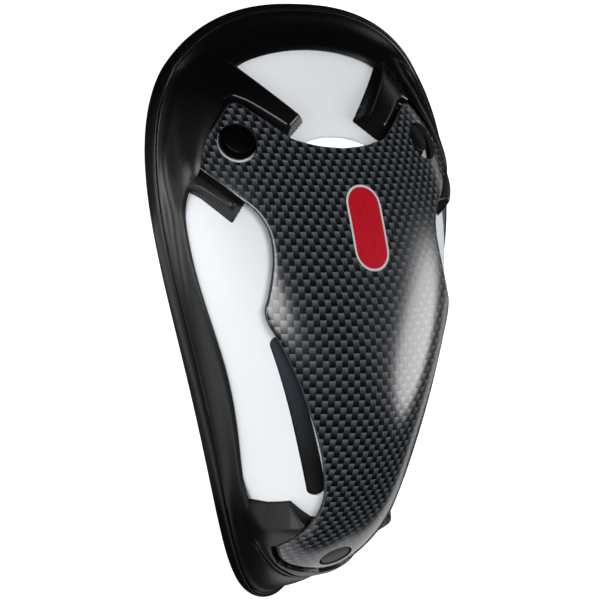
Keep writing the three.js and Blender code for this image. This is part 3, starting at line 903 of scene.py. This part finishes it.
class Finish:
    def __init__(self, name, **constants):
        self.material = bpy.data.materials.new(name)
        self.material.use_nodes = True
        self.tree = self.material.node_tree
        self.shader = self.tree.nodes["Principled BSDF"]
        for socket, value in constants.items():
            self.shader.inputs[socket.replace("_", " ")].default_value = value

    def node(self, kind, settings=None, sockets=None):
        made = self.tree.nodes.new(kind)
        for setting, value in (settings or {}).items():
            setattr(made, setting, value)
        for socket, value in (sockets or {}).items():
            if isinstance(value, Signal):
                self.tree.links.new(value.socket, made.inputs[socket])
            else:
                made.inputs[socket].default_value = value
        return {output.name: Signal(self, output) for output in made.outputs if output.enabled}

    def maths(self, operation, *values):
        return self.node("ShaderNodeMath", {"operation": operation}, dict(enumerate(values)))["Value"]

    def feed(self, socket, signal):
        self.tree.links.new(signal.socket, self.shader.inputs[socket])

    def place(self):
        return self.node("ShaderNodeTexCoord")["Object"]

    def chart(self, name):
        return self.parts(self.node("ShaderNodeUVMap", {"uv_map": name})["UV"])

    def parts(self, vector):
        return self.node("ShaderNodeSeparateXYZ", None, {"Vector": vector})

    def noise(self, vector, scale, detail=2.0):
        sockets = {"Vector": vector, "Scale": scale, "Detail": detail}
        return self.node("ShaderNodeTexNoise", None, sockets)["Fac"]

    def mix(self, share, first, second):
        sockets = {MIX_SHARE: share, MIX_FIRST: first, MIX_SECOND: second}
        return self.node("ShaderNodeMix", {"data_type": "RGBA"}, sockets)["Result"]

    def bump(self, height, strength, distance):
        sockets = {"Height": height, "Strength": strength, "Distance": distance}
        self.feed("Normal", self.node("ShaderNodeBump", None, sockets)["Normal"])


# Colours, and the runs along the guard in metres over which the rubber and the strip change: the rubber
# darkens with painted shade and grows smoother, and the strip takes a painted sheen
PLASTIC_DULL = (0.66, 0.69, 0.715, 1)
PLASTIC_BRIGHT = (0.69, 0.72, 0.745, 1)
MOULDING_TINT = (0.010, 0.010, 0.0108)
PLUG_TINT = (0.002, 0.002, 0.0024)
SMUDGE_AND_SHADE_SHARE = 0.15
RUBBER_TO_WAIST = (0.030, 0.065)
RUBBER_TO_TOE = (-0.045, -0.060)
# The strip's own colour is black; the slate it takes towards the waist end is a painted sheen
STRIP_BLACK = (0.0012, 0.0012, 0.0014, 1)
STRIP_PAINTED_SHEEN = (0.024, 0.028, 0.038, 1)
STRIP_TO_WAIST = (-0.040, -0.010)
TOW_DARK = (0.001, 0.0015, 0.0025, 1)
TOW_LIGHT = (0.088, 0.099, 0.113, 1)
PLATE_EDGE_BLACK = (0.004, 0.004, 0.005, 1)
LABEL_RED = (0.40, 0.006, 0.016, 1)
LABEL_BORDER_GREY = (0.48, 0.50, 0.49, 1)
FLOOR_DULL = (0.50, 0.50, 0.50, 1)
FLOOR_BRIGHT = (0.53, 0.53, 0.53, 1)
WHITE = (1, 1, 1, 1)


def shell_finish():
    finish = Finish("moulded_white_plastic", Specular_IOR_Level=0.25)
    cloud = finish.noise(finish.place(), scale=60.0, detail=3.0)
    finish.feed("Base Color", finish.mix(cloud, PLASTIC_DULL, PLASTIC_BRIGHT))
    finish.feed("Roughness", cloud * 0.12 + 0.5)
    finish.bump(finish.noise(finish.place(), scale=900.0), strength=0.04, distance=0.0002)
    return finish.material


def rubber_finish(name, tint, matt, polish, shine):
    finish = Finish(name, Specular_IOR_Level=shine)
    along = finish.parts(finish.place())["Y"]
    to_waist = along.between(*RUBBER_TO_WAIST)
    painted_shade_to_toe = along.between(*RUBBER_TO_TOE)
    smudge = finish.noise(finish.place(), scale=45.0, detail=5.0)
    grain = finish.noise(finish.place(), scale=2600.0)
    # Smudges vary the rubber's tint at random; the darkening towards waist and toe is painted shade, and the
    # lighter tint kept on the flanks is painted light
    dark = (*(part * SMUDGE_AND_SHADE_SHARE for part in tint), 1)
    finish.feed("Base Color", finish.mix((1.0 - to_waist - painted_shade_to_toe) * (smudge * 0.6 + 0.7), dark, (*tint, 1)))
    finish.feed("Roughness", smudge * 0.12 + (matt - 0.06) - to_waist * polish)
    finish.bump(grain, strength=0.12, distance=0.0001)
    return finish.material


def strip_finish():
    finish = Finish("black_strip_rubber_painted_sheen", Specular_IOR_Level=0.2)
    to_waist = finish.parts(finish.place())["Y"].between(*STRIP_TO_WAIST)
    grain = finish.noise(finish.place(), scale=2600.0)
    # Black at the toe end, rising to a painted slate sheen towards the waist end
    finish.feed("Base Color", finish.mix(to_waist, STRIP_BLACK, STRIP_PAINTED_SHEEN))
    finish.feed("Roughness", grain * 0.1 + 0.4)
    return finish.material


# Cells of the weave, with a painted sheen fading down each tow and painted shade at its sides, and the
# label, on the plate's own charts
WEAVE_WIDTH = 1.98
WEAVE_HEIGHT = 1.985
TOW_LENGTH = 0.92
TOW_FADE = 2.9
LABEL_PLACE = (2.0, 29.5)
LABEL_HALF_WIDTH = 6.4
LABEL_HALF_HEIGHT = 13.0
LABEL_ROUND = 6.2
LABEL_BORDER = 0.7


def weave_finish():
    finish = Finish("clear_coated_weave", Specular_IOR_Level=0.6)
    weave = finish.chart("weave")
    across = weave["X"]
    along = weave["Y"]
    column = across / WEAVE_WIDTH
    tow = (along / (2.0 * WEAVE_HEIGHT) + column.floor() * 0.5).fraction()
    hair = finish.node("ShaderNodeCombineXYZ", None, {"X": across * 5.0, "Y": along * 0.4})["Vector"]
    hair = finish.noise(hair, scale=1.0)
    # The cells and hairlines are the weave's own pattern; the fade from a light top to a dark foot of each
    # tow is a painted sheen, and the darker column sides are painted shade
    side = 1.0 - ((column.fraction() - 0.5).size() * 2.0).power(5.0) * 0.4
    painted_tow_sheen = (tow / TOW_LENGTH).least(1.0).power(TOW_FADE)
    colour = finish.mix(painted_tow_sheen * side * (hair * 1.1 + 0.45), TOW_DARK, TOW_LIGHT)
    label = finish.chart("label")
    over_x = ((label["X"] - LABEL_PLACE[0]).size() - (LABEL_HALF_WIDTH - LABEL_ROUND)).most(0.0)
    over_y = ((label["Y"] - LABEL_PLACE[1]).size() - (LABEL_HALF_HEIGHT - LABEL_ROUND)).most(0.0)
    edge = (over_x * over_x + over_y * over_y).root() - LABEL_ROUND
    colour = finish.mix(1.0 - edge.above(0.0), colour, LABEL_BORDER_GREY)
    colour = finish.mix(1.0 - edge.above(-LABEL_BORDER), colour, LABEL_RED)
    on_face = finish.chart("face")["X"].above(0.5)
    finish.feed("Base Color", finish.mix(on_face, PLATE_EDGE_BLACK, colour))
    finish.feed("Roughness", 0.72 - on_face * 0.54)
    swell = (tow * np.pi).sine() + (column.fraction() * np.pi).sine() * 0.25
    finish.bump(swell, strength=0.25, distance=0.00006)
    return finish.material


def make_ear_plug(name, place):
    return make_plug(name, place, EAR_PLUG_TOP, EAR_PLUG_FOOT_RADIUS)


def dress(piece, node, material):
    piece.data.materials.clear()
    piece.data.materials.append(material)
    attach(piece, "root")
    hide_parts(node)


rubber = rubber_finish("satin_moulded_rubber", MOULDING_TINT, matt=0.36, polish=0.18, shine=0.28)
plug_rubber = rubber_finish("glossy_plug_rubber", PLUG_TINT, matt=0.34, polish=0.1, shine=0.06)
strip_rubber = strip_finish()
dress(make_shell(), "shell", shell_finish())
dress(make_moulding(), "edge_moulding", rubber)
dress(make_plate(), "front_plate", weave_finish())
dress(make_ear_plug("left_plug", mirrored(EAR_PLUG_SET)), "left_peg", plug_rubber)
dress(make_ear_plug("right_plug", EAR_PLUG_SET), "right_peg", plug_rubber)
toe_plug = make_plug("toe_plug", TOE_PLUG, TOE_PLUG_TOP, TOE_PLUG_FOOT_RADIUS)
dress(toe_plug, "toe_peg", plug_rubber)
dress(make_strip("left_strip", -1), "left_flex_strip", strip_rubber)
dress(make_strip("right_strip", 1), "right_flex_strip", strip_rubber)


# Floor, lights and camera

# The floor is a sheet under the guard and a ring round it; the rubber mirrors the ring alone
SHEET_CORNERS = (
    (-58.0, -108.0), (250.0, -108.0), (250.0, 250.0), (-250.0, 250.0), (-250.0, 25.0), (-58.0, 25.0),
    (-58.0, -108.0),
)
SHEET_POINTS = 200
FLOOR_REACH = 12.0
FLOOR_GLOW = 0.92


def make_floor():
    line = evenly_spaced(np.array(SHEET_CORNERS), SHEET_POINTS + 1)[:-1]
    line = np.column_stack((line, np.zeros(len(line))))
    middle = np.broadcast_to(line.mean(axis=0), line.shape)
    floor = round_sheet("floor", np.stack((line, middle + (line - middle) * FLOOR_REACH)))
    sheet = round_sheet("floor_sheet", np.stack((middle, line)))
    sheet.visible_glossy = False
    finish = Finish("pale_floor", Roughness=0.9, Specular_IOR_Level=0.1, Emission_Strength=FLOOR_GLOW)
    speck = finish.noise(finish.place(), scale=8.0)
    finish.feed("Base Color", finish.mix(speck, FLOOR_DULL, FLOOR_BRIGHT))
    finish.shader.inputs["Emission Color"].default_value = WHITE
    for ground in (floor, sheet):
        ground.data.materials.append(finish.material)


# Soft boxes: degrees round from +X towards +Y, degrees up, metres away, width, height, radiance
SOFT_BOXES = (
    ("right_key", 4.5, 28.0, 1.0, 0.42, 0.50, 5.2),
    ("right_halo", 4.5, 28.0, 1.01, 0.52, 0.60, 2.2),
    ("overhead_left", 137.0, 64.0, 1.0, 0.68, 0.48, 9.0),
    ("left_fill", 180.0, 21.0, 1.0, 0.56, 0.56, 6.0),
    ("front_fill", 240.0, 15.0, 1.0, 0.80, 0.42, 1.3),
)
LIGHTS_AIM = Vector((0, 0, 0.03))
ROOM_GLOW = 0.01


def soft_box(name, around, up, distance, width, height, radiance):
    light = bpy.data.lights.new(name, "AREA")
    light.shape = "ELLIPSE"
    light.size = width
    light.size_y = height
    light.energy = radiance * np.pi * width * height * np.pi / 4
    lamp = bpy.data.objects.new(name, light)
    bpy.context.scene.collection.objects.link(lamp)
    around = np.radians(around)
    up = np.radians(up)
    away = Vector((np.cos(around) * np.cos(up), np.sin(around) * np.cos(up), np.sin(up)))
    lamp.location = away * distance + LIGHTS_AIM
    lamp.rotation_euler = away.to_track_quat("Z", "Y").to_euler()


# Camera: place and aim in millimetres, roll in degrees
CAMERA_PLACE = Vector((-513.359, 117.650, 637.128))
CAMERA_AIM = Vector((-6.628, 4.1855, 20.0))
CAMERA_ROLL = 103.0584
CAMERA_LENS = 166.555
CAMERA_SENSOR = 36.0


def make_camera():
    camera = bpy.data.cameras.new("camera")
    camera.lens = CAMERA_LENS
    camera.sensor_width = CAMERA_SENSOR
    camera.clip_start = 0.01
    stand = bpy.data.objects.new("camera", camera)
    bpy.context.scene.collection.objects.link(stand)
    turn = (CAMERA_PLACE - CAMERA_AIM).to_track_quat("Z", "Y").to_matrix().to_4x4()
    roll = Matrix.Rotation(np.radians(CAMERA_ROLL), 4, "Z")
    stand.matrix_world = Matrix.Translation(CAMERA_PLACE * MM) @ turn @ roll
    bpy.context.scene.camera = stand


def make_world():
    world = bpy.data.worlds.new("studio")
    world.use_nodes = True
    glow = world.node_tree.nodes["Background"]
    glow.inputs["Color"].default_value = WHITE
    glow.inputs["Strength"].default_value = ROOM_GLOW
    bpy.context.scene.world = world


make_floor()
for row in SOFT_BOXES:
    soft_box(*row)
make_camera()
make_world()
bpy.context.scene.view_settings.view_transform = "Standard"
